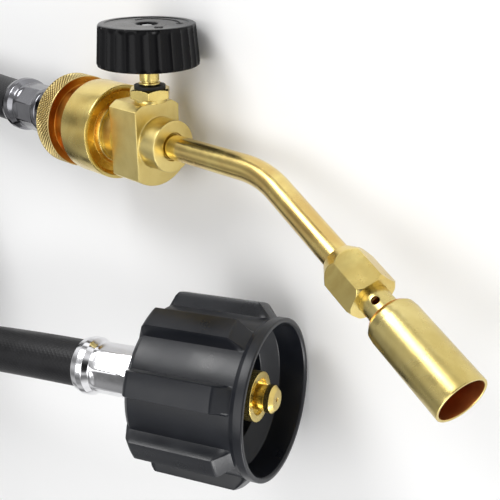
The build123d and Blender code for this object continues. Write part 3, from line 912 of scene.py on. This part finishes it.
def make_burner_side():
    feed = tube("drawn_tube", [tuple(p) for p in feed_tube_path()], TUBE_RADIUS * MM, columns=96)
    dress(feed, tube_brass, "torch", "brass_tube", "feed_tube")
    hexagon = flats(6, HEX_APOTHEM)

    def hex_shape(distance, radius, angle):
        return np.where(radius > 4.5, np.minimum(radius, hexagon(angle)), radius)

    housing = turned(
        "hex_housing",
        BURNER,
        [
            (30.6, 4.02),
            (30.6, 4.7),
            (35.2, HEX_CORNER),
            (45.1, HEX_CORNER),
            (46.0, 6.7),
            (46.0, 4.32),
            (43.5, 4.32),
            (43.5, 3.0),
            (37.6, 3.0),
            (37.6, 2.0),
            (34.6, 2.0),
            (34.6, 4.02),
        ],
        columns=360,
        shape=hex_shape,
        rounding=0.1,
        step=0.3,
    )
    dress(housing, turned_brass, "torch", "brass_fitting", "jet_housing")
    burner = turned(
        "burner_barrel",
        BURNER,
        [
            (43.5, 3.5),
            (43.5, 4.3),
            (52.1, 4.3),
            (52.45, 5.9),
            (53.7, 6.95),
            (55.7, BURNER_RADIUS),
            (BURNER_MOUTH, BURNER_RADIUS),
            (BURNER_MOUTH, BURNER_BORE),
            (55.9, BURNER_BORE),
            (54.0, 6.0),
            (52.9, 5.0),
            (52.3, 3.5),
        ],
        columns=192,
        rounding=0.3,
        step=0.8,
    )
    dress(burner, burner_brass, "torch", "burner_brass", "burner_tube")
    cut_air_holes(burner)
    # The faces inside the burner's neck and bore are painted the darker, redder brass.
    paint_faces(burner, redder_inner_brass, BURNER, 43.0, 52.7, (0, 3.9))
    paint_faces(burner, redder_inner_brass, BURNER, 52.7, 80.2, (0, 6.55))


def cut_air_holes(burner):
    origin, along, side, other = BURNER
    cutter_mesh = bpy.data.meshes.new("air_hole_cutter")
    shape = bmesh.new()
    for quarter in range(4):
        angle = math.radians(45 + 90 * quarter)
        outwards = side * math.cos(angle) + other * math.sin(angle)
        place = origin + along * AIR_HOLES_AT * MM + outwards * 4.5 * MM
        turn = outwards.to_track_quat("Z", "Y").to_matrix().to_4x4()
        bmesh.ops.create_cone(
            shape,
            cap_ends=True,
            segments=32,
            radius1=AIR_HOLE_RADIUS * MM,
            radius2=AIR_HOLE_RADIUS * MM,
            depth=4 * MM,
            matrix=Matrix.Translation(place) @ turn,
        )
    shape.to_mesh(cutter_mesh)
    shape.free()
    cutter = link("air_hole_cutter", cutter_mesh)
    boolean = burner.modifiers.new("air_holes", "BOOLEAN")
    boolean.operation = "DIFFERENCE"
    boolean.solver = "EXACT"
    boolean.object = cutter
    depsgraph = bpy.context.evaluated_depsgraph_get()
    cut = bpy.data.meshes.new_from_object(burner.evaluated_get(depsgraph))
    burner.modifiers.clear()
    burner.data = cut
    bpy.data.objects.remove(cutter)
    smooth_mesh(burner.data)


# ---- Tank connector: nut with grip bars, nipple and ring ----
NUT_REAR = -40.0
RIM_RADIUS = 25.0
NIPPLE_RADIUS = 8.0
RING_RADIUS = 9.6
SHELL_RADIUS = 24.4
BAR_RADIUS = 28.7
BAR_COUNT = 8
BAR_HALF_TOP, BAR_HALF_FOOT = 3.85, 4.95
BAR_PHASE = math.radians(19)


def grip_bars(distance, radius, angle):
    sector = 2 * math.pi / BAR_COUNT
    local = np.mod(angle - BAR_PHASE + sector / 2, sector) - sector / 2
    width = np.abs(local) * BAR_RADIUS
    rise = ((BAR_HALF_FOOT - width) / (BAR_HALF_FOOT - BAR_HALF_TOP)).clip(0, 1)
    front = ((-4.4 - distance) / 4.1).clip(0, 1)
    rear = ((distance - NUT_REAR + 0.6) / 4.2).clip(0, 1)
    height = (BAR_RADIUS - SHELL_RADIUS) * rise * np.minimum(front, rear)
    outside = radius > np.where(distance < -16.0, 22.0, 23.9)
    return np.where(outside, radius + height, radius)


def make_tank_side():
    wheel = turned(
        "hand_wheel",
        TANK,
        [
            (0, 23.7),
            (0, RIM_RADIUS),
            (-2.8, RIM_RADIUS),
            (-4.2, SHELL_RADIUS),
            (NUT_REAR + 2.2, SHELL_RADIUS),
            (NUT_REAR, 22.4),
            (NUT_REAR, 10.65),
            (-28.0, 10.65),
            (-28.0, 16.7),
            (-13.0, 16.7),
            (-9.0, 22.8),
            (-0.6, 23.2),
        ],
        columns=720,
        shape=grip_bars,
        rounding=0.5,
        step=3.0,
        fine=(NUT_REAR - 0.1, -3.0, 22.0, 0.5),
    )
    dress(wheel, nut_plastic, "tank_nut", "nut_plastic", "tank_nut")
    nipple = turned(
        "probe_and_collar",
        TANK,
        [
            (0, 0.65),
            (0, 3.2),
            (-1.1, 4.4),
            (-3.0, 4.4),
            (-3.0, 3.9),
            (-7.2, 3.9),
            (-7.2, 5.6),
            (-5.6, 5.6),
            (-5.6, 7.8),
            (-24.0, 7.8),
            (-24.0, 12.6),
            (-27.6, 12.6),
            (-27.6, NIPPLE_RADIUS),
            (TANK_FERRULE_START, NIPPLE_RADIUS),
            (TANK_FERRULE_START, BARB_RADIUS),
            (-68.2, BARB_RADIUS),
            (-68.2, 2.6),
            (-8.0, 2.6),
            (-6.0, 0.65),
        ],
        columns=160,
        rounding=0.2,
    )
    dress(nipple, turned_brass, "torch", "brass_fitting", "tank_nipple")
    ring = turned(
        "polished_ring",
        TANK,
        [
            (-40.5, NIPPLE_RADIUS),
            (-40.5, RING_RADIUS),
            (TANK_FERRULE_START, RING_RADIUS),
            (TANK_FERRULE_START, NIPPLE_RADIUS),
        ],
        columns=160,
        rounding=0.9,
    )
    dress(ring, chrome, "torch", "steel", "retaining_ring")
    return nipple, ring


make_valve_body()
make_inlet()
# The torch's ferrule gets the chrome darkened to grey, a painted dark reflection; the tank's ferrule keeps the
# bright chrome.
make_ferrule(
    "torch_ferrule_shell",
    INLET,
    TORCH_FERRULE_START,
    TORCH_FERRULE_LENGTH,
    chrome_painted_dark_reflection,
    "torch_ferrule",
)
make_stem_side()
make_burner_side()
nipple, ring = make_tank_side()
tank_ferrule = make_ferrule(
    "tank_ferrule_shell",
    TANK,
    TANK_FERRULE_START,
    TANK_FERRULE_LENGTH,
    chrome,
    "tank_ferrule",
)
hose.data.materials.append(hose_rubber)
for node, material in {
    "inlet_seal": seal_rubber,
    "inlet_filter": dark_brass,
    "packing_washer": turned_brass,
    "stem_packing": seal_rubber,
    "dust_washer": seal_rubber,
    "jet_filter": dark_brass,
    "jet_orifice": turned_brass,
    # the flame holder inside the burner gets the same darker, redder brass
    "flame_holder": redder_inner_brass,
    "thermal_bushing": bushing_plastic,
}.items():
    paint_node(node, material)


# ---- Floor, lights and surroundings ----
def make_stage():
    floor_mesh = bpy.data.meshes.new("floor")
    reach = 6.0
    floor_mesh.from_pydata(
        [(-reach, -reach, 0), (reach, -reach, 0), (reach, reach, 0), (-reach, reach, 0)],
        [],
        [(0, 1, 2, 3)],
    )
    floor = link("floor", floor_mesh)
    floor.location.z = -0.0002
    floor_material = new_material("pale_floor", (0.93, 0.93, 0.93), 0.0, 0.7)
    grain = noise(floor_material, coordinates(floor_material, "Object", (1, 1, 1)), 30.0)
    wire(
        floor_material,
        remap(floor_material, grain, 0.65, 0.75),
        shader_of(floor_material).inputs["Roughness"],
    )
    floor.data.materials.append(floor_material)


def area_light(name, place, target, size, power):
    data = bpy.data.lights.new(name, "AREA")
    data.shape = "RECTANGLE"
    data.size, data.size_y = size
    data.energy = power
    light = link(name, data)
    light.location = place
    light.rotation_mode = "QUATERNION"
    light.rotation_quaternion = (Vector(target) - Vector(place)).to_track_quat("-Z", "Y")


def world_ramp(nodes, links, value, stops):
    """Grey ramp from (position, brightness) stops."""
    node = nodes.new("ShaderNodeValToRGB")
    elements = node.color_ramp.elements
    for index, (position, brightness) in enumerate(stops):
        element = elements[index] if index < 2 else elements.new(position)
        element.position = position
        element.color = (brightness, brightness, brightness, 1)
    links.new(value, node.inputs["Fac"])
    return node.outputs["Color"]


def make_lights():
    area_light("key_light", (-0.36, 0.80, 0.55), (0, -0.03, 0.02), (0.45, 0.45), 5)
    area_light("top_light", (0.15, 0.10, 1.1), (0, 0, 0), (0.9, 0.9), 5)
    area_light("low_light", (0.7, -0.7, 0.25), (0, 0, 0.02), (0.5, 0.4), 5)
    world = bpy.data.worlds.new("studio")
    world.use_nodes = True
    bpy.context.scene.world = world
    nodes = world.node_tree.nodes
    links = world.node_tree.links
    background = nodes["Background"]
    place = nodes.new("ShaderNodeTexCoord")
    clouds = nodes.new("ShaderNodeTexNoise")
    clouds.inputs["Scale"].default_value = 1.7
    clouds.inputs["Detail"].default_value = 1.0
    links.new(place.outputs["Generated"], clouds.inputs["Vector"])
    shade = world_ramp(nodes, links, clouds.outputs["Fac"], [(0.36, 0.2), (0.50, 0.7), (0.60, 1.0)])
    # one dark patch near the camera's side and one behind the object, for the metals to mirror
    for direction, width, depth in (
        ((0.63, 0.40, 0.67), (0.86, 0.95), 0.10),
        ((-0.62, -0.42, 0.66), (0.80, 0.96), 0.55),
    ):
        facing = nodes.new("ShaderNodeVectorMath")
        facing.operation = "DOT_PRODUCT"
        facing.inputs[1].default_value = direction
        links.new(place.outputs["Generated"], facing.inputs[0])
        stops = [(width[0], 1.0), (width[1], depth)]
        card = world_ramp(nodes, links, facing.outputs["Value"], stops)
        product = nodes.new("ShaderNodeVectorMath")
        product.operation = "MULTIPLY"
        links.new(shade, product.inputs[0])
        links.new(card, product.inputs[1])
        shade = product.outputs["Vector"]
    links.new(shade, background.inputs["Color"])
    background.inputs["Strength"].default_value = 1.0


make_stage()
make_lights()
bpy.context.scene.view_settings.view_transform = "Standard"
